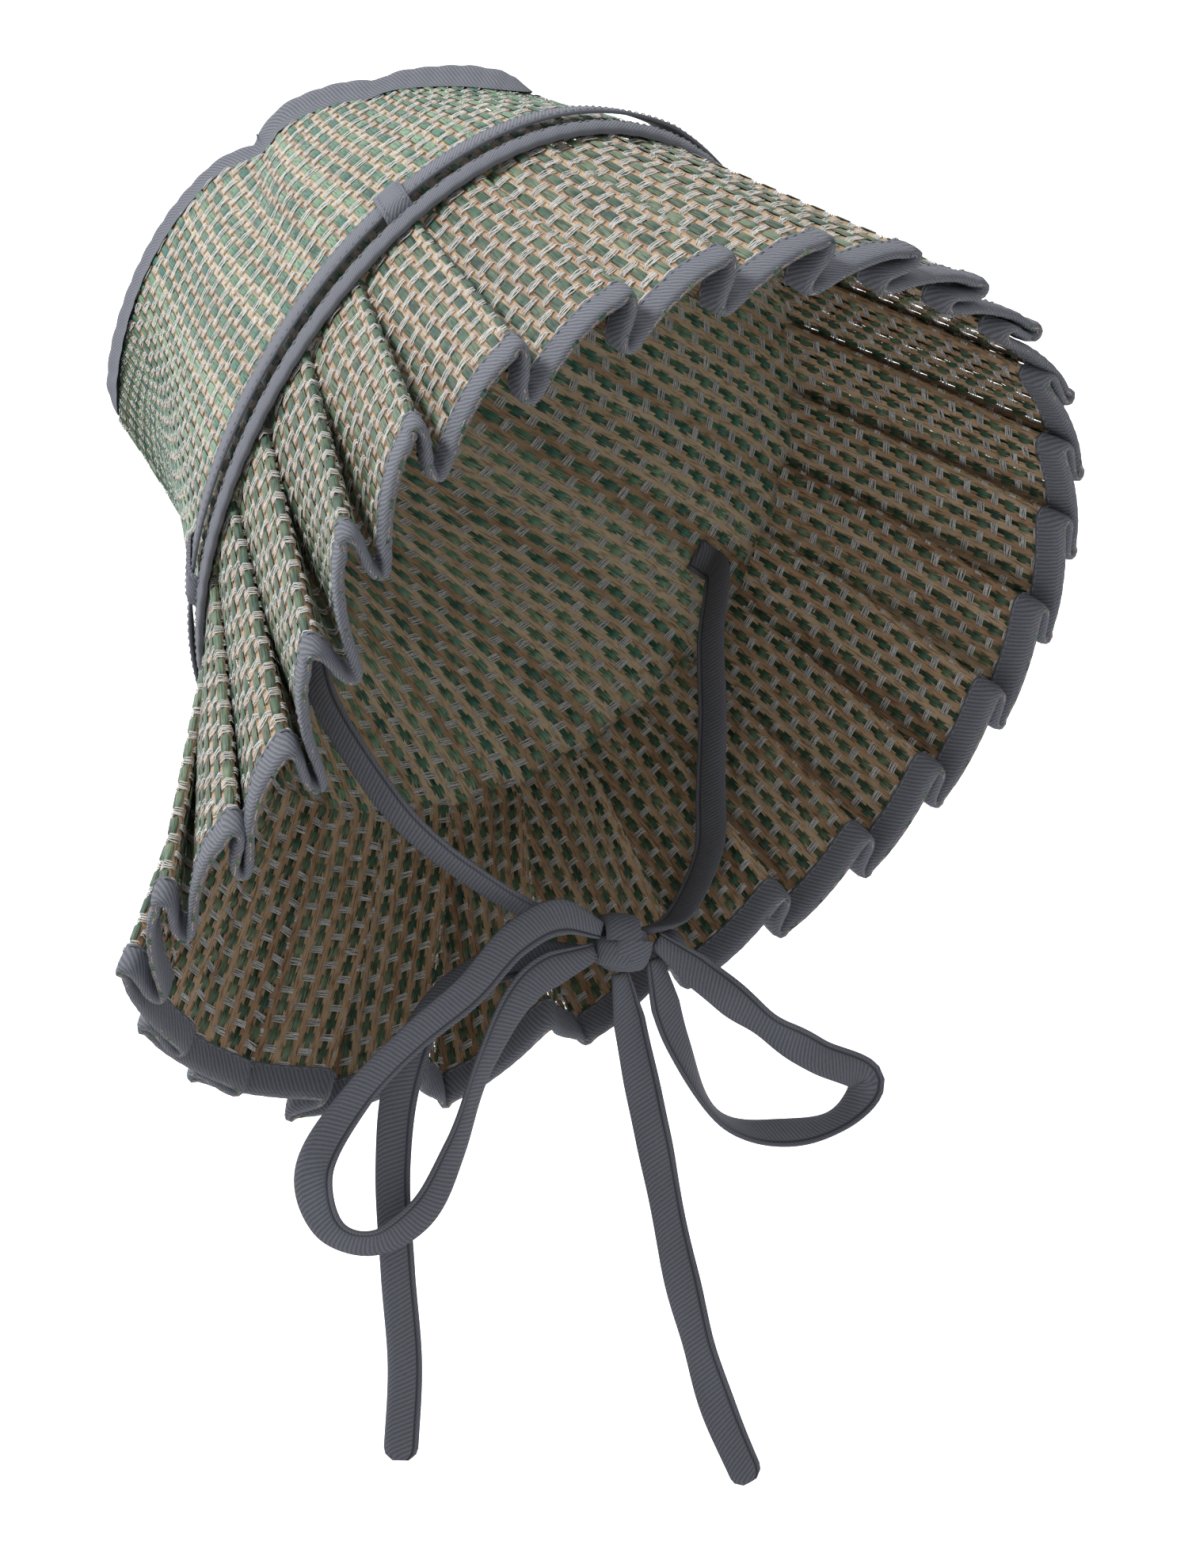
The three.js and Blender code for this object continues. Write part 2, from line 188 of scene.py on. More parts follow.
class Cloth:
    def __init__(self, grid, outward, reach):
        self.grid = grid
        self.reach = reach
        along_v = np.gradient(grid, axis=0)
        wrapped = np.concatenate([grid[:, -1:], grid, grid[:, :1]], 1)
        along_u = (wrapped[:, 2:] - wrapped[:, :-2]) / 2
        normal = unit(np.cross(along_u, along_v))
        if np.sum(normal * outward) < 0:
            normal = -normal
        self.normal = normal
        self.rows, self.columns = grid.shape[:2]

    def share(self, u, run):
        """Share along the cloth for a run in millimetres from its start, at u."""
        x = np.mod(u, 1) * self.columns
        i = np.floor(x).astype(int) % self.columns
        f = x - np.floor(x)
        reach = self.reach[i] * (1 - f) + self.reach[(i + 1) % self.columns] * f
        return np.clip(run / reach, 0, 1)

    def at(self, u, v, h):
        """Points at u, a share round; v, a share along; h, millimetres off the surface."""
        x = np.mod(u, 1) * self.columns
        i = np.floor(x).astype(int) % self.columns
        fx = (x - np.floor(x))[..., None]
        y = np.clip(v, 0, 1) * (self.rows - 1)
        j = np.minimum(np.floor(y).astype(int), self.rows - 2)
        fy = (y - j)[..., None]
        k = (i + 1) % self.columns

        def look(g):
            top = g[j, i] * (1 - fx) + g[j, k] * fx
            low = g[j + 1, i] * (1 - fx) + g[j + 1, k] * fx
            return top * (1 - fy) + low * fy

        return look(self.grid) + look(self.normal) * np.asarray(h)[..., None]


CROWN_COLUMNS = 720
CROWN_ROWS = 60
_u = np.arange(CROWN_COLUMNS) / CROWN_COLUMNS
_v = np.linspace(0, 1, CROWN_ROWS)
_half = (azimuth_at(_u) + np.pi) % TURN - np.pi
_drift = np.sign(_half) * np.radians(np.interp(np.degrees(abs(_half)), *np.array(DRIFT).T))
_az = azimuth_at(_u)[None, :] + _drift[None, :] * _v[:, None] ** DRIFT_BEND
CROWN_BELOW = 1.2
CROWN_TOP = 0.992
HALF_WALL = 0.8
_low = -CROWN_BELOW / (crown_seam(_az)[1] - rim(_az)[0][..., 2])
_rise = _low + _v[:, None] * (CROWN_TOP - _low)
crown_grid = crown_point(_az, _rise, HALF_WALL)
crown_grid[..., 2] += CROWN_FOOT
_ribs = np.linalg.norm(np.diff(crown_grid, axis=0), axis=-1).sum(0)
crown_cloth = Cloth(crown_grid, rim(_az)[1], _ribs)

# The pleated brim's middle surface


def outer_fold(k, down):
    azimuth = azimuth_at(FIRST_PLEAT + k / PLEATS)
    place, out, side = rim(azimuth)
    flare = np.radians(row_value(0, azimuth))[..., None]
    level = np.array([0, 0, -1.0])
    direction = out * np.cos(flare) + level * np.sin(flare)
    face = out * np.sin(flare) - level * np.cos(flare)
    lean = row_value(1, azimuth)[..., None]
    return place + direction * down[..., None] + side * lean * down[..., None], face


SAMPLES_PER_PLEAT = 48
BRIM_GRID_ROWS = 40
# Folds, mm: how far a fold's curve reaches, and how far its nose and middle are set in
FOLD_REACH = 3.2
NOSE_IN = 0.4
MIDDLE_IN = 0.3
FOLD_STEPS = 6


def pleat_grid(start, end):
    """Rows of the pleated sheet, each pleat sampled evenly along its cloth."""
    down = np.linspace(start, end, BRIM_GRID_ROWS)[:, None] + np.zeros((1, PLEATS))
    k = np.arange(PLEATS)[None, :] + 0 * down
    here, face = outer_fold(k, down)
    there, _ = outer_fold(k + 1, down)
    step = there - here
    pitch = np.linalg.norm(step, axis=-1)
    across = step / pitch[..., None]
    face = unit(face - across * np.sum(face * across, -1, keepdims=True))
    reach = (PLEAT_RETURN**2 - PLEAT_FACE**2 + pitch**2) / (2 * pitch)
    least = SEAM_DEPTH + (EDGE_DEPTH - SEAM_DEPTH) * down / BRIM_LENGTH
    nose = least / 3
    limit = np.sqrt(PLEAT_RETURN**2 - least**2)
    back = np.clip(reach, -limit, limit)
    depth = np.sqrt(PLEAT_RETURN**2 - back**2)
    x1, y1 = pitch - back, depth
    broad = np.hypot(x1, y1)
    ux, uy = x1 / broad, y1 / broad
    zero = 0 * pitch
    corners = [
        (-FOLD_REACH * ux, -FOLD_REACH * uy),
        (zero, zero),
        (zero + NOSE_IN, -nose),
        ((MIDDLE_IN + back) / 2, -depth / 2),
        (back - NOSE_IN, nose - depth),
        (back, -depth),
        (back + FOLD_REACH * ux, -depth + FOLD_REACH * uy),
        (back + x1 * 0.35, -depth + y1 * 0.35 + FACE_BOW),
        (back + x1 * 0.7, -depth + y1 * 0.7 + FACE_BOW),
        (pitch - FOLD_REACH * ux, -FOLD_REACH * uy),
        (pitch, zero),
    ]
    cx = np.stack([c[0] for c in corners], -1)
    cy = np.stack([c[1] for c in corners], -1)
    # A smooth curve through the corners' middles, bent by each corner
    t = np.arange(FOLD_STEPS) / FOLD_STEPS
    px, py = [], []
    for c in range(1, len(corners) - 1):
        for q, curve in ((cx, px), (cy, py)):
            a = (q[..., c - 1] + q[..., c]) / 2
            b = q[..., c]
            d = (q[..., c] + q[..., c + 1]) / 2
            curve.append(
                a[..., None] * (1 - t) ** 2 + 2 * b[..., None] * t * (1 - t) + d[..., None] * t**2
            )
    px = np.concatenate(px, -1)
    py = np.concatenate(py, -1)
    last = ((cx[..., -2] + cx[..., -1]) / 2, (cy[..., -2] + cy[..., -1]) / 2)
    px = np.concatenate([px, last[0][..., None]], -1)
    py = np.concatenate([py, last[1][..., None]], -1)
    run = np.concatenate([0 * px[..., :1], np.cumsum(np.hypot(np.diff(px), np.diff(py)), -1)], -1)
    want = np.arange(SAMPLES_PER_PLEAT) / SAMPLES_PER_PLEAT
    sx = np.empty(px.shape[:2] + (SAMPLES_PER_PLEAT,))
    sy = np.empty_like(sx)
    for r in range(px.shape[0]):
        for p in range(PLEATS):
            share = run[r, p] / run[r, p, -1]
            sx[r, p] = np.interp(want, share, px[r, p])
            sy[r, p] = np.interp(want, share, py[r, p])
    points = here[:, :, None] + across[:, :, None] * sx[..., None] + face[:, :, None] * sy[..., None]
    faces = face[:, :, None] + 0 * points
    return points.reshape(BRIM_GRID_ROWS, -1, 3), faces.reshape(BRIM_GRID_ROWS, -1, 3)


BRIM_START = 0.6
BRIM_SPAN = BRIM_LENGTH - BRIM_START
brim_grid, brim_face = pleat_grid(BRIM_START, BRIM_LENGTH)
brim_cloth = Cloth(brim_grid, brim_face, np.full(brim_grid.shape[1], BRIM_SPAN))

# Meshes


def to_world(points):
    return points @ WORN.T * MM


def ribbons(points):
    """Quads for an array of ribbons: (ribbon, station, across, 3)."""
    n, m, w = points.shape[:3]
    first = np.arange(n)[:, None, None] * m * w
    i = first + np.arange(m - 1)[None, :, None] * w + np.arange(w - 1)[None, None, :]
    return np.stack([i, i + w, i + w + 1, i + 1], -1).reshape(-1, 4)


def mesh_object(name, points, material, values=None, hat_axes=True):
    """One ribbon (station, across, 3) or many of them. Points in the hat's own axes are turned as worn."""
    points = np.asarray(points, float)
    quads = ribbons(points if points.ndim == 4 else points[None]).astype(np.int32)
    points = points.reshape(-1, 3)
    points = to_world(points) if hat_axes else points * MM
    mesh = bpy.data.meshes.new(name)
    mesh.vertices.add(len(points))
    mesh.vertices.foreach_set("co", points.ravel())
    mesh.loops.add(quads.size)
    mesh.loops.foreach_set("vertex_index", quads.ravel())
    mesh.polygons.add(len(quads))
    mesh.polygons.foreach_set("loop_start", np.arange(len(quads)) * 4)
    mesh.polygons.foreach_set("loop_total", np.full(len(quads), 4))
    mesh.update(calc_edges=True)
    mesh.polygons.foreach_set("use_smooth", np.ones(len(quads), bool))
    for label, data in (values or {}).items():
        layer = mesh.attributes.new(label, "FLOAT", "POINT")
        layer.data.foreach_set("value", np.asarray(data, float).ravel())
    mesh.materials.append(material)
    thing = bpy.data.objects.new(name, mesh)
    scene.collection.objects.link(thing)
    return thing


def cloth_values(points, run, across, tint_and_shade=0.5):
    """Where each point lies on its cloth, for the materials."""
    zero = 0 * points[..., 0]
    return {"run": run + zero, "across": across + zero, "tint_and_shade": tint_and_shade + zero}


def hat_piece(thing, replaced=None):
    """The hat is one body, so every piece rides it."""
    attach(thing, "root")
    if replaced:
        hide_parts(replaced)


rng = np.random.default_rng(28)

# Strips: places across as shares of the width, their curl in mm, and how a green one rises
STRIP_SHARES = np.array([-0.5, -0.3, 0.3, 0.5])
GREEN_CURL = np.array([-0.2, 0.06, 0.06, -0.2])
TAN_CURL = np.array([-0.14, 0.04, 0.04, -0.14])
GREEN_NARROWEST, GREEN_SPREAD = 0.9, 0.14
GREEN_STEEP, GREEN_STAY = 2.4, 0.42
GREEN_STATIONS, TAN_STATIONS = 4, 2
TAN_OVERLAP = 1.6
TAN_SUNK, TAN_WAVE = -0.1, 0.12
STRIP_WOBBLE = 0.1


def warp_strips(cloth, pairs, rows, pitch, green):
    """Strips that run along the cloth; a green one rises over every other weft row."""
    stations = rows * (GREEN_STATIONS if green else TAN_STATIONS) + 1
    v = np.linspace(0, 1, stations)[None, :]
    i = np.arange(pairs)[:, None]
    tint_and_shade = rng.random(pairs)[:, None] + 0 * v
    if green:
        centre = (i + GREEN_SHARE / 2) / pairs
        width = GREEN_SHARE * (GREEN_NARROWEST + GREEN_SPREAD * rng.random((pairs, 1))) / pairs + 0 * v
        wave = np.cos(np.pi * (v * rows - 0.5 - i))
        h = LIFT * np.clip(GREEN_STEEP * (wave + GREEN_STAY), -1, 1)
    else:
        centre = (i + GREEN_SHARE + (1 - GREEN_SHARE) / 2) / pairs
        width = (1 - GREEN_SHARE) * TAN_OVERLAP / pairs + 0 * v
        h = TAN_SUNK + TAN_WAVE * np.cos(TURN * v * rows) + 0 * i
    curl = GREEN_CURL if green else TAN_CURL
    wobble = (rng.random((pairs, 1)) - 0.5) * STRIP_WOBBLE * width
    u = (centre + wobble)[..., None] + width[..., None] * STRIP_SHARES
    run = v[..., None] * rows * pitch + 0 * u
    points = cloth.at(u, cloth.share(u, run), h[..., None] + curl)
    return points, cloth_values(points, run, STRIP_SHARES, tint_and_shade[..., None])


# One float of the weft, from the middle of a green strip that covers it: place in pairs,
# height as a share of the lift, and how far its yarns spread
FLOAT = [
    (-0.32, -1.3, 0.85),
    (0.32, -1.3, 0.85),
    (0.39, -0.2, 0.76),
    (0.46, 0.85, 0.82),
    (0.66, 1.1, 1.0),
    (1.0, 1.2, 1.06),
    (1.34, 1.1, 1.0),
    (1.54, 0.85, 0.82),
    (1.61, -0.2, 0.76),
]
# Yarns: how they waver sideways and in height in mm, and their width as a share of their pitch
YARN_WAVER, YARN_BOUNCE = 0.11, 0.09
YARN_WIDTH, YARN_WIDTH_SPREAD = 0.64, 0.1
YARN_SIDES = np.array([-0.5, 0.5])


def weft_yarns(cloth, pairs, rows, pitch, yarn_pitch):
    """Pale yarns round the cloth in rows of a few, diving under every other green strip."""
    place, height, spread = np.array(FLOAT).T
    periods = pairs // 2
    base = (np.arange(periods)[:, None] * 2 + place[None, :]).ravel()
    base = np.append(base, base[0] + pairs)
    high = np.append(np.tile(height, periods), height[0])
    wide = np.append(np.tile(spread, periods), spread[0])
    row = np.repeat(np.arange(rows), YARNS)[:, None]
    yarn = np.tile(np.arange(YARNS) - (YARNS - 1) / 2, rows)[:, None]
    u = (base[None, :] + GREEN_SHARE / 2 + row % 2) / pairs
    n, m = u.shape
    waver = YARN_WAVER * rng.standard_normal((n, m))
    middle = (row + 0.5) * pitch + (yarn * yarn_pitch * wide[None, :] + waver)
    h = LIFT * high[None, :] + YARN_BOUNCE * rng.standard_normal((n, m)) * (high > 0)
    half = yarn_pitch * (YARN_WIDTH + YARN_WIDTH_SPREAD * rng.standard_normal((n, m, 1))) * YARN_SIDES
    u = u[..., None] + 0 * YARN_SIDES
    points = cloth.at(u, cloth.share(u, middle[..., None] + half), h[..., None] + 0 * u)
    return points, cloth_values(points, u * pairs * PAIR_WIDTH, YARN_SIDES, rng.random((n, 1, 1)))


# Materials

WHITE = (1, 1, 1)


class Paint:
    """One material: each helper adds a node and gives back its output."""

    def __init__(self, name, roughness):
        self.material = bpy.data.materials.new(name)
        self.material.use_nodes = True
        self.nodes = self.material.node_tree.nodes
        self.links = self.material.node_tree.links
        self.shader = self.nodes["Principled BSDF"]
        self.shader.inputs["Roughness"].default_value = roughness

    def node(self, kind, inputs, output=0, **settings):
        """Each input is a constant, or the output that feeds it."""
        made = self.nodes.new("ShaderNode" + kind)
        for label, value in settings.items():
            setattr(made, label, value)
        for key, value in inputs.items():
            if isinstance(value, bpy.types.NodeSocket):
                self.links.new(value, made.inputs[key])
            else:
                made.inputs[key].default_value = value
        return made.outputs[output]

    def attribute(self, name):
        return self.node("Attribute", {}, "Fac", attribute_name=name)

    def maths(self, operation, *values):
        return self.node("Math", dict(enumerate(values)), operation=operation)

    def noise(self, vector, scale, detail):
        return self.node("TexNoise", {"Scale": scale, "Detail": detail, "Vector": vector}, "Fac")

    def ramp(self, value, stops):
        made = self.nodes.new("ShaderNodeValToRGB")
        elements = made.color_ramp.elements
        while len(elements) < len(stops):
            elements.new(0.5)
        for element, (place, colour) in zip(elements, stops):
            element.position = place
            element.color = (*colour, 1)
        self.links.new(value, made.inputs["Fac"])
        return made.outputs["Color"]

    def finish(self, colour, shadow, height, distance):
        """Base colour times shadow, with a fine relief."""
        inputs = {"Factor": 1.0, "A": colour, "B": shadow}
        mixed = self.node("Mix", inputs, "Result", data_type="RGBA", blend_type="MULTIPLY")
        self.links.new(mixed, self.shader.inputs["Base Color"])
        relief = self.node("Bump", {"Strength": 0.5, "Distance": distance, "Height": height})
        self.links.new(relief, self.shader.inputs["Normal"])
        return self.material


def srgb(r, g, b):
    return tuple(((c / 255 + 0.055) / 1.055) ** 2.4 if c > 10 else c / 3294 for c in (r, g, b))


# Straw: how far apart two pieces lie in the noise, the slow stains, and how much tint and stain count
PIECES_APART = 37.0
STAIN_SCALE = 0.09
TINT_PART, STAIN_PART = 0.55, 0.5
STRAW_RELIEF = 0.0003


def fibre_cloth(name, roughness, stops, dark, scales, lines, dome=0.0):
    """A strip or yarn: tint by piece, long fibres along it and slow stains."""
    paint = Paint(name, roughness)
    tint_and_shade, run, across = (paint.attribute(label) for label in ("tint_and_shade", "run", "across"))
    apart = paint.maths("MULTIPLY", tint_and_shade, PIECES_APART)
    place = paint.node("CombineXYZ", {"X": run, "Y": across, "Z": apart})
    stretched = paint.node("Mapping", {"Scale": (*scales, 1), "Vector": place})
    fibres = paint.noise(stretched, 1.0, 3)
    stains = paint.maths("MULTIPLY", paint.noise(place, STAIN_SCALE, 1), STAIN_PART)
    colours = paint.ramp(paint.maths("MULTIPLY_ADD", tint_and_shade, TINT_PART, stains), stops)
    shadow = paint.ramp(fibres, [(lines[0], dark), (lines[1], WHITE)])
    height = paint.maths("MULTIPLY_ADD", paint.maths("POWER", across, 2.0), -4.0 * dome, fibres)
    return paint.finish(colours, shadow, height, STRAW_RELIEF)


GREENS = [
    (0.14, srgb(34, 88, 78)),
    (0.26, srgb(82, 122, 96)),
    (0.38, srgb(58, 114, 98)),
    (0.5, srgb(112, 144, 112)),
    (0.6, srgb(46, 100, 86)),
    (0.72, srgb(132, 162, 130)),
    (0.86, srgb(88, 138, 116)),
]
TANS = [(0.2, srgb(166, 138, 106)), (0.5, srgb(194, 168, 135)), (0.8, srgb(212, 191, 160))]
PALES = [(0.15, srgb(192, 191, 189)), (0.6, srgb(214, 213, 211)), (0.9, srgb(228, 228, 227))]
# The brim's straw: darker copies of the crown's greens and tans, with painted shade for the brim and its
# inside, which get less light
SHADED_GREENS = [
    (0.14, srgb(32, 76, 62)),
    (0.26, srgb(82, 104, 80)),
    (0.38, srgb(56, 94, 74)),
    (0.5, srgb(106, 124, 94)),
    (0.6, srgb(44, 82, 68)),
    (0.72, srgb(122, 140, 112)),
    (0.86, srgb(76, 106, 86)),
]
SHADED_TANS = [(0.2, srgb(166, 134, 104)), (0.5, srgb(190, 159, 127)), (0.8, srgb(208, 182, 150))]
green_straw = fibre_cloth("green straw", 0.5, GREENS, (0.22, 0.27, 0.26), (0.22, 8.0), (0.38, 0.5))
shaded_green_straw = fibre_cloth("shaded green straw", 0.5, SHADED_GREENS, (0.22, 0.26, 0.23), (0.2, 8.0), (0.38, 0.5))
tan_straw = fibre_cloth("tan straw", 0.55, TANS, (0.5, 0.44, 0.38), (0.25, 7.0), (0.36, 0.5))
shaded_tan_straw = fibre_cloth("shaded tan straw", 0.55, SHADED_TANS, (0.45, 0.38, 0.32), (0.2, 8.0), (0.36, 0.5))
pale_yarn = fibre_cloth("pale yarn", 0.85, PALES, (0.5, 0.49, 0.47), (1.4, 2.0), (0.34, 0.52), 0.6)

TWILL_SLANT = 0.72
TWILL_RIBS = 0.38
TWILL_RELIEF = 0.0002
RIB_PART, FLUFF_PART = 0.6, 0.5
GROOVE_SHADOW = (0.3, 0.3, 0.31)


def twill(name, roughness, light, dark):
    """Woven tape: fine slanting ribs on its own run and across places; a tint value under 0.5 darkens it with
    painted shadow, used in a ribbon's groove.
    """
    paint = Paint(name, roughness)
    place = paint.node("CombineXYZ", {"X": paint.attribute("run"), "Y": paint.attribute("across")})
    slanted = paint.node("Mapping", {"Rotation": (0, 0, TWILL_SLANT), "Vector": place})
    waves = {"Scale": TWILL_RIBS, "Distortion": 0.5, "Detail": 1, "Vector": slanted}
    fluff = paint.maths("MULTIPLY", paint.noise(place, 2.2, 4), FLUFF_PART)
    height = paint.maths("MULTIPLY_ADD", paint.node("TexWave", waves, "Fac"), RIB_PART, fluff)
    colours = paint.ramp(height, [(0.15, dark), (0.85, light)])
    shadow = paint.ramp(paint.attribute("tint_and_shade"), [(0.0, GROOVE_SHADOW), (0.5, WHITE)])
    return paint.finish(colours, shadow, height, TWILL_RELIEF)


grey_twill = twill("grey twill", 0.85, srgb(128, 131, 140), srgb(92, 94, 103))
dark_twill = twill("dark twill", 0.85, srgb(113, 116, 125), srgb(82, 84, 93))
thread = twill("thread", 0.8, srgb(142, 145, 155), srgb(120, 123, 132))


def woven(name, cloth, pairs, pitch, yarn_pitch, green, tan):
    """A woven cloth: green strips, tan strips, then its yarns in two halves."""
    rows = int(np.ceil(cloth.reach.max() / pitch))
    points, values = warp_strips(cloth, pairs, rows, pitch, True)
    hat_piece(mesh_object(name + "_green_strips", points, green, values), name)
    points, values = warp_strips(cloth, pairs, rows, pitch, False)
    hat_piece(mesh_object(name + "_tan_strips", points, tan, values))
    points, values = weft_yarns(cloth, pairs, rows, pitch, yarn_pitch)
    cut = len(points) // 2
    for label, part in (("a", slice(0, cut)), ("b", slice(cut, None))):
        some = {key: value[part] for key, value in values.items()}
        hat_piece(mesh_object(f"{name}_weft_{label}", points[part], pale_yarn, some))


woven("crown", crown_cloth, CROWN_PAIRS, CROWN_ROW, CROWN_YARN, green_straw, tan_straw)
# The brim takes the darker straw copies, which carry painted shade
woven("brim", brim_cloth, PLEATS * PAIRS_PER_PLEAT, BRIM_ROW, BRIM_YARN, shaded_green_straw, shaded_tan_straw)

# Edge binding: a tape folded over the brim's edge. Half of its section, from its upper border to
# the fold: share of its width and height off the straw
EDGE_LEAF = [(0, 0.25), (0.04, 0.8), (0.12, 0.78), (0.5, 1.05), (0.85, 0.95), (1, 0.5)]
EDGE_FROM = (BRIM_LENGTH - EDGE_BAND - BRIM_START) / BRIM_SPAN
EDGE_THICK = 1.15
EDGE_COLUMNS = PLEATS * 40
EDGE_ROUND = PLEATS * 48
SCALLOP, SCALLOP_LENGTH = 0.12, 3.4
TAPE_UNROLLED = 20

edge_share, edge_height = np.array(EDGE_LEAF + [(s, -h) for s, h in reversed(EDGE_LEAF)]).T[..., None]
edge_u = np.arange(EDGE_COLUMNS + 1)[None, :] / EDGE_COLUMNS
edge_v = EDGE_FROM + (1 - EDGE_FROM) * edge_share + 0 * edge_u
scallops = 1 + SCALLOP * np.sin(edge_u * TURN * EDGE_ROUND / SCALLOP_LENGTH)
edge_points = brim_cloth.at(edge_u + 0 * edge_v, edge_v, edge_height * EDGE_THICK * scallops)
edge_across = np.linspace(0, TAPE_UNROLLED, len(edge_points))[:, None]
edge_values = cloth_values(edge_points, edge_u * EDGE_ROUND, edge_across)
hat_piece(mesh_object("edge_tape", edge_points, grey_twill, edge_values), "brim_edge_binding")

# Stitches: places along one as shares of its length, its rise and its sides in mm
STITCH = np.linspace(-0.5, 0.5, 5)
STITCH_RISE = 0.3 * np.cos(STITCH * np.pi) ** 0.5
STITCH_SIDES = np.array([-0.28, 0, 0.28])
STITCH_DOME = np.array([-0.1, 0.12, -0.1])
STITCH_FILL = 0.66


def stitch_mesh(name, rows):
    """Thread stitches: rows of places (stitch, station, across, 3)."""
    points = np.concatenate(rows)
    hat_piece(mesh_object(name, points, thread, cloth_values(points, 0.5, 0.5)))


def round_stitches(length, pitch, surface):
    """Stitches in a ring: surface takes a share round, a shift across and a rise in mm."""
    count = int(length / pitch)
    u = (np.arange(count)[:, None] + STITCH[None, :] * STITCH_FILL) / count
    uu = u[..., None] + 0 * STITCH_SIDES
    return surface(uu, STITCH_SIDES + 0 * uu, STITCH_RISE[None, :, None] + STITCH_DOME + 0 * uu)


EDGE_STITCH = EDGE_FROM + 1.1 / BRIM_SPAN
EDGE_STITCH_OFF = 0.9
EDGE_STITCH_PITCH, BAND_STITCH_PITCH = 2.4, 2.3


def on_edge(way):
    """The edge tape's outer leaf, 1, or its inner leaf, -1."""
    return lambda u, a, r: brim_cloth.at(u, EDGE_STITCH + a / BRIM_SPAN, way * (EDGE_STITCH_OFF + r))


stitch_mesh("edge_stitches", [round_stitches(EDGE_ROUND, EDGE_STITCH_PITCH, on_edge(way)) for way in (1, -1)])

# Band tape, seam binding and keeper loops: sections follow the crown's wall

RIM_ROUND = float(_arc[-1] * TURN / ARC_STEPS)
BAND_COLUMNS = 360
RIPPLES = 90


def wall_point(azimuth, height, off):
    place, out, _ = rim(azimuth)
    rise = (height - CROWN_FOOT) / (crown_seam(azimuth)[1] - place[..., 2])
    return crown_point(azimuth, rise, 0) + out * np.asarray(off)[..., None] + np.array([0, 0, CROWN_FOOT])


def wall_band(name, replaced, section, ripple=0.0):
    """A closed strip round the wall: section is a list of heights and offsets."""
    u = np.arange(BAND_COLUMNS + 1)[None, :] / BAND_COLUMNS
    height, off = np.array(section, float).T[..., None]
    z = height + 0 * u
    points = wall_point(azimuth_at(u) + 0 * z, z, off + ripple * np.sin(u * TURN * RIPPLES))
    values = cloth_values(points, u * RIM_ROUND, np.linspace(0, TAPE_UNROLLED, len(section))[:, None])
    hat_piece(mesh_object(name, points, grey_twill, values), replaced)


def on_wall(height, off):
    return lambda u, a, r: wall_point(azimuth_at(u), height + a, off + r)


SEAM_SECTION = [(-2.4, 0.6), (-2.6, 1.6), (-1.6, 2.1), (1, 2.2), (3.4, 1.9), (4, 1.3), (3.9, 0.7), (0, 0.5)]
BAND_SECTION = [
    (6.6, 2.5), (6.4, 3.0), (7.0, 3.4), (11.3, 2.6), (15.4, 1.9), (16.1, 1.6), (16, 0.9), (11, 1.6),
    (6.6, 2.5),
]
wall_band("seam_tape", "brim_seam_binding", SEAM_SECTION, ripple=0.12)
wall_band("band_strip", "band_tape", BAND_SECTION)
BAND_STITCH_ROWS = [(7.9, 3.2), (15.0, 1.85), (2.9, 1.9)]
stitch_mesh(
    "band_stitches",
    [round_stitches(RIM_ROUND, BAND_STITCH_PITCH, on_wall(z, o)) for z, o in BAND_STITCH_ROWS],
)

# Keepers: height up the wall and offset along one; share of the width and lift across it
KEEPER_TURN = 0.56
KEEPERS = [
    -TURN / 4 + KEEPER_TURN,
    -TURN / 4 - KEEPER_TURN,
    TURN / 4 - KEEPER_TURN,
    TURN / 4 + KEEPER_TURN,
]
KEEPER_WIDTH = 8
KEEPER_LINE = [
    (3.2, 1.5), (3.7, 2.6), (5.2, 3.8), (6.8, 4.2), (8.4, 4.1), (11.3, 3.7), (14.6, 3.2), (16.8, 2.9),
    (18.2, 2.5), (18.9, 1.6), (19.0, 0.4),
]
KEEPER_SECTION = [
    (-0.5, -0.9), (-0.5, -0.2), (-0.46, 0.0), (-0.34, 0.0), (-0.3, 0.1), (0.0, 0.16), (0.3, 0.1),
    (0.34, 0.0), (0.46, 0.0), (0.5, -0.2), (0.5, -0.9),
]
KEEPER_STITCH_SHARES = (-0.36, 0.36)
KEEPER_STITCH_STARTS = np.arange(5.2, 17.6, 2.1)
KEEPER_STITCH_LENGTH = 1.4


def keeper_points(azimuth, z, off, share):
    around = azimuth + 0 * z
    return wall_point(around, z, off) + rim(around)[2] * (share * KEEPER_WIDTH)[..., None]


line_z, line_off = np.array(KEEPER_LINE).T
section_share, section_lift = np.array(KEEPER_SECTION).T
keeper_threads = []
for index, azimuth in enumerate(KEEPERS, 1):
    z = line_z[:, None] + 0 * section_share
    points = keeper_points(azimuth, z, line_off[:, None] + section_lift, section_share + 0 * z)
    values = cloth_values(points, z, section_share * KEEPER_WIDTH)
    hat_piece(mesh_object(f"keeper_{index}", points, grey_twill, values), f"band_loop_{index}")
    for share in KEEPER_STITCH_SHARES:
        for start in KEEPER_STITCH_STARTS:
            z = (start + STITCH * KEEPER_STITCH_LENGTH)[:, None] + 0 * STITCH_SIDES
            off = np.interp(z, line_z, line_off) + STITCH_RISE[:, None] + STITCH_DOME
            keeper_threads.append(keeper_points(azimuth, z, off, share + STITCH_SIDES / KEEPER_WIDTH + 0 * z))
stitch_mesh("keeper_stitches", [np.array(keeper_threads)])

# Ridge binding: tape folded over the crown's seam

RIDGE_STEPS = 300
RIDGE_END = 0.036
RIDGE_RISE = 0.985
RIDGE_TAPER = 9
PUFF, PUFF_LENGTH = 0.2, 6.6
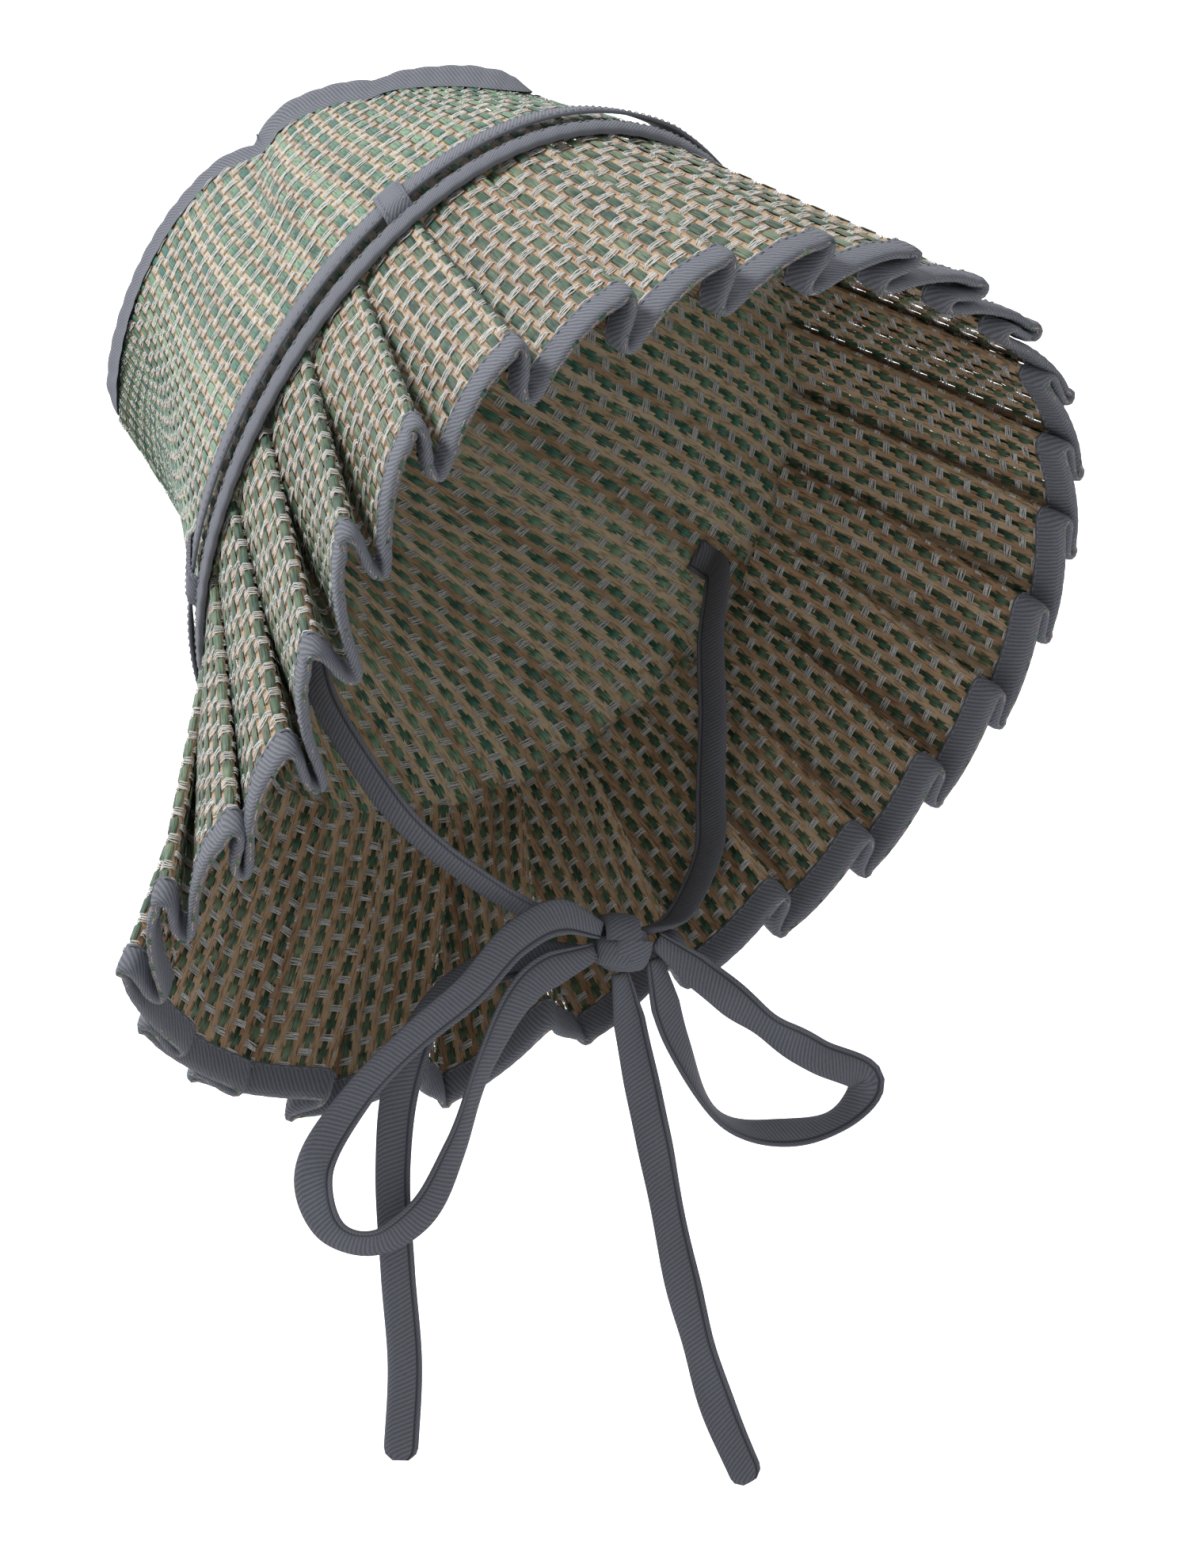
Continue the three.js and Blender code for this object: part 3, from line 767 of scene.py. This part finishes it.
# How far the tape stands up along the ridge, front to back: share of the way and mm
RIDGE_TALL = [
    (0, 0.6), (0.03, 3.6), (0.1, 4.8), (0.25, 4.6), (0.34, 6.2), (0.42, 7.6), (0.46, 7.8), (0.485, 4.2),
    (0.52, 4.6), (0.65, 5.6), (0.9, 5.8), (0.96, 4.6), (0.985, 2.6), (1, 0.5),
]
# Half of the tape's section: offset in mm, and height in mm for the foot or as a share of the rest
RIDGE_HALF = [
    (-2.3, -1.6, "foot"),
    (-2.1, -0.5, "foot"),
    (-1.6, 1.0, "foot"),
    (-1.45, 0.55, "groove"),
    (-1.3, 0.85, "top"),
    (-0.6, 1.0, "top"),
]
GROOVE_LEAST = 1.2
ridge_section = RIDGE_HALF + [(-a, b, part) for a, b, part in reversed(RIDGE_HALF)]

_a = np.linspace(RIDGE_END, np.pi - RIDGE_END, RIDGE_STEPS)
_s = np.linspace(0, 1, RIDGE_STEPS)
ridge_foot = sum(crown_point(way * _a, RIDGE_RISE + 0 * _a, 0) for way in (1, -1)) / 2
ridge_foot[:, 2] += CROWN_FOOT
ridge_run = unit(np.gradient(ridge_foot, axis=0))
ridge_side = unit(np.array([1.0, 0, 0]) - ridge_run * ridge_run[:, :1])
ridge_up = np.cross(ridge_side, ridge_run)
ridge_length = np.linalg.norm(np.diff(ridge_foot, axis=0), axis=1).sum()
tall = np.interp(_s, *np.array(RIDGE_TALL).T)
slim = np.clip(np.minimum(_s, 1 - _s) * ridge_length / RIDGE_TAPER, 0, 1) ** 0.5
puff = PUFF * np.abs(np.sin(_s * np.pi * ridge_length / PUFF_LENGTH))
ridge_points = []
for a, b, part in ridge_section:
    out = np.full(RIDGE_STEPS, b) if part == "foot" else b * tall
    if part == "groove":
        out = np.maximum(out, GROOVE_LEAST)
    ridge_points.append(
        ridge_foot
        + ridge_side * ((a + np.sign(a) * puff) * slim)[:, None]
        + ridge_up * (out * slim + puff * (part == "top"))[:, None]
    )
ridge_points = np.stack(ridge_points)
ridge_across = np.linspace(0, TAPE_UNROLLED, len(ridge_section))[:, None]
ridge_values = cloth_values(ridge_points, _s * ridge_length, ridge_across)
hat_piece(mesh_object("ridge_tape", ridge_points, grey_twill, ridge_values), "crown_seam_binding")

# Ribbon ties: centre lines, mm; bow points are across, front and up from the knot

KNOT = np.array([0, -33.2, -116])
BOW_TURN = -0.52
BOW_ACROSS = np.array([np.cos(BOW_TURN), np.sin(BOW_TURN), 0])
BOW_FRONT = np.array([np.sin(BOW_TURN), -np.cos(BOW_TURN), 0])
UP = np.array([0, 0, 1.0])


def from_knot(line):
    return [KNOT + BOW_ACROSS * a + BOW_FRONT * f + UP * z for a, f, z in line]


BOW_LOOP_RIGHT = [
    (-7.7, 3.5, 2.5), (-20, 6, 5), (-33, 8, -1), (-46, 9, -14), (-60, 9, -25), (-74, 8, -39),
    (-84, 6, -57), (-79, 4, -70), (-67, 2, -73), (-54, 1, -66), (-45, 0, -51), (-37, 0, -30),
    (-25, 0, -11), (-7.7, 0.5, -2.5),
]
BOW_LOOP_LEFT = [
    (8, 3.5, 0.5), (23, 6, -10), (36, 7, -19), (52, 7, -27), (68, 5, -33), (63, 1, -42), (48, -2, -46),
    (30, -3, -43), (17, -2, -24), (9, 0.3, -3.8),
]
TAIL_RIGHT = [
    (-7.4, -3, -3), (-30, -7, -6), (-46, -8, -16), (-55, -8, -34), (-58, -7, -55), (-57, -6, -80),
    (-55, -6, -102), (-56, -6, -124),
]
TAIL_LEFT = [(1, -2.5, -7.4), (7, -5, -28), (12, -5, -49), (19, -4, -82), (28, -3, -112), (37, -2, -132)]
STRAP_RIGHT = [
    (-74.3, 23.4, 12.6), (-75.9, 19.5, 9.8), (-74.8, 12.9, 5.4), (-74, 11, -22), (-73, 9, -42),
    (-71, 6, -60), (-66, 0, -74), (-56, -8, -90), (-39, -14, -101), (-19.5, -20.5, -109.5),
    (-4.7, -26.5, -112.5),
]
STRAP_LEFT = [
    (78, -8.3, -3.3), (78.2, -12.5, -6.2), (73.8, -17.9, -10.1), (65, -21, -30), (59, -25, -50),
    (51, -29, -72), (42, -34, -88), (31, -36, -100), (20, -36.5, -109), (7.4, -35.1, -113),
]
CURVE_STEPS = 40


def smooth_line(points, count):
    """Evenly spaced places on a centripetal curve through the points."""
    p = np.array(points, float)
    p = np.concatenate([[2 * p[0] - p[1]], p, [2 * p[-1] - p[-2]]])
    out = []
    for i in range(1, len(p) - 2):
        a, b, c, d = p[i - 1], p[i], p[i + 1], p[i + 2]
        t0 = 0
        t1 = t0 + np.linalg.norm(b - a) ** 0.5
        t2 = t1 + np.linalg.norm(c - b) ** 0.5
        t3 = t2 + np.linalg.norm(d - c) ** 0.5
        t = np.linspace(t1, t2, CURVE_STEPS, endpoint=i == len(p) - 3)[:, None]
        a1 = (t1 - t) / (t1 - t0) * a + (t - t0) / (t1 - t0) * b
        a2 = (t2 - t) / (t2 - t1) * b + (t - t1) / (t2 - t1) * c
        a3 = (t3 - t) / (t3 - t2) * c + (t - t2) / (t3 - t2) * d
        b1 = (t2 - t) / (t2 - t0) * a1 + (t - t0) / (t2 - t0) * a2
        b2 = (t3 - t) / (t3 - t1) * a2 + (t - t1) / (t3 - t1) * a3
        out.append((t2 - t) / (t2 - t1) * b1 + (t - t1) / (t2 - t1) * b2)
    q = np.concatenate(out)
    run = np.concatenate([[0], np.cumsum(np.linalg.norm(np.diff(q, axis=0), axis=1))])
    want = np.linspace(0, run[-1], count)
    return np.stack([np.interp(want, run, q[:, k]) for k in range(3)], -1), run[-1]


RIBBON = 9.0
RIBBON_STEP = 1.5
RIBBON_UNROLLED = 18
GATHERED, GATHER_LENGTH = 0.5, 24
LEAF, KNOT_LEAF_LENGTH = 0.6, 14
TIP_ROUND, TIP_GAP, TIP_MOST = 3.5, 0.4, 0.96
END_RING = 0.02
PATH_POINTS = 60
# Across the ribbon, as shares of its width, and off it, as shares of its thickness
GROOVE_AT = -0.345
RIBBON_SECTION = [
    (-0.5, 0.1), (-0.49, 0.55), (-0.4, 0.66), (GROOVE_AT, 0.0), (-0.29, 0.7), (0.0, 0.8), (0.3, 0.74),
    (0.47, 0.5), (0.5, 0.0), (0.47, -0.5), (0.3, -0.7), (-0.29, -0.7), (GROOVE_AT, 0.0), (-0.4, -0.66),
    (-0.49, -0.5), (-0.5, 0.1),
]


def ribbon(name, line, facing, facing_end, knotted, replaced, far_end, twist=()):
    """A folded twill ribbon with a stitched edge, gathered at the knot; gives its length in mm."""
    _, length = smooth_line(line, 10)
    count = int(length / RIBBON_STEP)
    centre, length = smooth_line(line, count)
    share = np.linspace(0, 1, count)[:, None]
    run = unit(np.gradient(centre, axis=0))
    way = np.asarray(facing, float) * (1 - share) + np.asarray(facing_end, float) * share
    flat = unit(way - run * np.sum(way * run, -1, keepdims=True))
    wide = np.cross(run, flat)
    angle = np.zeros(count)
    for middle, amount, spread in twist:
        angle += amount * np.exp(-(((share[:, 0] - middle) / spread) ** 2))
    ca, sa = np.cos(angle)[:, None], np.sin(angle)[:, None]
    flat, wide = flat * ca + wide * sa, wide * ca - flat * sa
    near = np.minimum(share[:, 0] if knotted[0] else 1, 1 - share[:, 0] if knotted[1] else 1) * length
    width = RIBBON * np.minimum(1, GATHERED + near / GATHER_LENGTH)
    if not knotted[1]:
        to_end = (1 - share[:, 0]) * length
        width = width * np.sqrt(1 - np.clip(1 - (to_end + TIP_GAP) / TIP_ROUND, 0, TIP_MOST) ** 2)
    thick = LEAF + LEAF * np.clip(1 - near / KNOT_LEAF_LENGTH, 0, 1)
    # Places in the groove get 0, which the twill turns into painted shadow in the groove; the rest get 0.5
    groove = np.array([0.0 if a == GROOVE_AT else 0.5 for a, _ in RIBBON_SECTION])
    crease = 0.18 * np.sin(share[:, 0] * length / 7.0 + len(name)) + 0.1 * np.sin(share[:, 0] * length / 2.9)
    rows = []
    for a, b in RIBBON_SECTION:
        bow = crease * np.cos(a * np.pi)
        rows.append(centre + wide * (a * width)[:, None] + flat * (b * thick + bow)[:, None])
    points = np.stack(rows, 1)
    # Close both ends with a narrowed ring
    ends = [points[k] * END_RING + centre[k, None] * (1 - END_RING) for k in (slice(1), slice(-1, None))]
    points = np.concatenate([ends[0], points, ends[1]])
    shares = np.concatenate([share[:1], share, share[-1:]])
    across = np.linspace(0, RIBBON_UNROLLED, len(RIBBON_SECTION))
    values = cloth_values(points, shares * length, across, groove)
    thing = mesh_object(name, points, dark_twill, values, hat_axes=False)
    hat_piece(thing, replaced)
    path = [tuple(p * MM) for p in centre[:: max(1, count // PATH_POINTS)]]
    if tuple(centre[-1] * MM) != path[-1]:
        path.append(tuple(centre[-1] * MM))
    return length


# Each tie: names, line, which way its face looks at the start and the end, whether each end is in
# the knot, where it ends, and its twists as middle, angle and spread
WALL_RIGHT, WALL_LEFT = (-0.975, 0.182, 0.128), (0.975, -0.182, -0.128)
CHIN_RIGHT, CHIN_LEFT = (-0.6, 0, -0.8), (0.6, 0, -0.8)
AT_END, AT_BOTH, AT_START = (False, True), (True, True), (True, False)
LOOP_RIGHT_TWIST = ((0.3, -0.45, 0.12), (0.53, 1.05, 0.08), (0.78, 0.7, 0.12))
LOOP_LEFT_TWIST = ((0.22, 1.05, 0.07), (0.5, 1.0, 0.08), (0.72, 0.95, 0.14))
END_RIGHT_TWIST = ((0.3, 0.9, 0.15),)
END_LEFT_TWIST = ((0.28, 0.6, 0.1), (0.72, 1.0, 0.14))
FACES = (BOW_FRONT, BOW_FRONT)
TIES = [
    ("tie_right", "strap_right", STRAP_RIGHT, (WALL_RIGHT, CHIN_RIGHT), AT_END, "object", ()),
    ("tie_left", "strap_left", STRAP_LEFT, (WALL_LEFT, CHIN_LEFT), AT_END, "object", ()),
    ("loop_right", "bow_loop_right", from_knot(BOW_LOOP_RIGHT), FACES, AT_BOTH, "object", LOOP_RIGHT_TWIST),
    ("loop_left", "bow_loop_left", from_knot(BOW_LOOP_LEFT), FACES, AT_BOTH, "object", LOOP_LEFT_TWIST),
    ("end_right", "tail_right", from_knot(TAIL_RIGHT), FACES, AT_START, "bare", END_RIGHT_TWIST),
    ("end_left", "tail_left", from_knot(TAIL_LEFT), FACES, AT_START, "bare", END_LEFT_TWIST),
]
lengths = {
    replaced: ribbon(name, line, *faces, knotted, replaced, far_end, twist)
    for name, replaced, line, faces, knotted, far_end, twist in TIES
}

# Knot: wraps of ribbon round the crossing

WRAP_SECTION = [(-0.5, -0.7), (-0.44, 0.3), (-0.15, 0.75), (0.2, 0.7), (0.44, 0.3), (0.5, -0.7)]
WRAP_STEPS = 40
WRAP_THICK = 1.2


def wrap(name, axis, others, radius, width, lean, centre_up, replaced=None):
    """One turn of ribbon round an axis, leaning along it."""
    t = np.linspace(0, TURN, WRAP_STEPS)
    a, b = others
    ring = np.stack([np.cos(t) * radius[0], np.sin(t) * radius[1]], -1)
    drift = (t - t.mean()) * lean
    rows = []
    for share, lift in WRAP_SECTION:
        grow = 1 + lift * WRAP_THICK / max(radius)
        rows.append(
            KNOT
            + UP * centre_up
            + a * (ring[:, :1] * grow)
            + b * (ring[:, 1:] * grow)
            + axis * (share * width + drift)[:, None]
        )
    points = np.stack(rows, 1)
    values = cloth_values(points, (t * max(radius))[:, None], np.linspace(0, RIBBON, len(WRAP_SECTION)))
    hat_piece(mesh_object(name, points, dark_twill, values, hat_axes=False), replaced)


wrap("knot_band", BOW_ACROSS, (BOW_FRONT, UP), (5.2, 6.4), 10, 0.5, 0, "knot")
wrap("knot_cross", UP, (BOW_FRONT, BOW_ACROSS), (4.4, 6.2), 7.5, -0.4, -1.5)

# A pale floor that runs up into a bright wall behind, as in a studio: rows of distance and height, mm

FLOOR = -0.345
STAGE_HALF = 2600
STAGE_ROUGHNESS = 0.9
WALL_FROM, WALL_BEND, WALL_TOP = 500, 400, 2400
FLOOR_NEAR = -2200
across_view = np.array([side_way.x, side_way.y, 0])
away = -unit(np.array([CAMERA_BACK.x, CAMERA_BACK.y, 0]))


def sheet(name, rows, material):
    points = [
        [away * d + across_view * x + np.array([0, 0, z + FLOOR / MM]) for x in (-STAGE_HALF, STAGE_HALF)]
        for d, z in rows
    ]
    mesh_object(name, points, material, hat_axes=False)


pale_floor = Paint("pale floor", STAGE_ROUGHNESS)
pale_floor.shader.inputs["Base Color"].default_value = (0.62, 0.62, 0.62, 1)
bright_wall = Paint("bright wall", STAGE_ROUGHNESS)
bright_wall.shader.inputs["Base Color"].default_value = (0.8, 0.8, 0.8, 1)
bright_wall.shader.inputs["Emission Color"].default_value = (1, 1, 1, 1)
bright_wall.shader.inputs["Emission Strength"].default_value = 1.0
bend = [
    (WALL_FROM + WALL_BEND * np.sin(t), WALL_BEND * (1 - np.cos(t))) for t in np.linspace(0, np.pi / 2, 13)
]
sheet("floor", [(FLOOR_NEAR, 0), (WALL_FROM, 0)], pale_floor.material)
sheet("backdrop", bend + [(WALL_FROM + WALL_BEND, WALL_TOP)], bright_wall.material)

# Light

WORLD_STRENGTH = 0.33
LAMP_AIM = Vector((0, -0.02, -0.03))
LAMPS = [
    ("key", (-0.95, 0.6, 0.95), 0.4, 16),
    ("top", (-0.3, -0.2, 1.5), 0.8, 4),
    ("front", (-0.8, -1.2, 0.1), 0.9, 2),
]
world = bpy.data.worlds.new("world")
world.use_nodes = True
world.node_tree.nodes["Background"].inputs["Color"].default_value = (1, 1, 1, 1)
world.node_tree.nodes["Background"].inputs["Strength"].default_value = WORLD_STRENGTH
scene.world = world
scene.view_settings.view_transform = "Standard"
for name, place, size, power in LAMPS:
    lamp_data = bpy.data.lights.new(name, "AREA")
    lamp_data.size = size
    lamp_data.energy = power
    lamp = bpy.data.objects.new(name, lamp_data)
    lamp.location = place
    look = (LAMP_AIM - Vector(place)).normalized()
    lamp.rotation_euler = look.to_track_quat("-Z", "Y").to_euler()
    scene.collection.objects.link(lamp)

print("lengths mm", {k: round(v, 1) for k, v in lengths.items()})
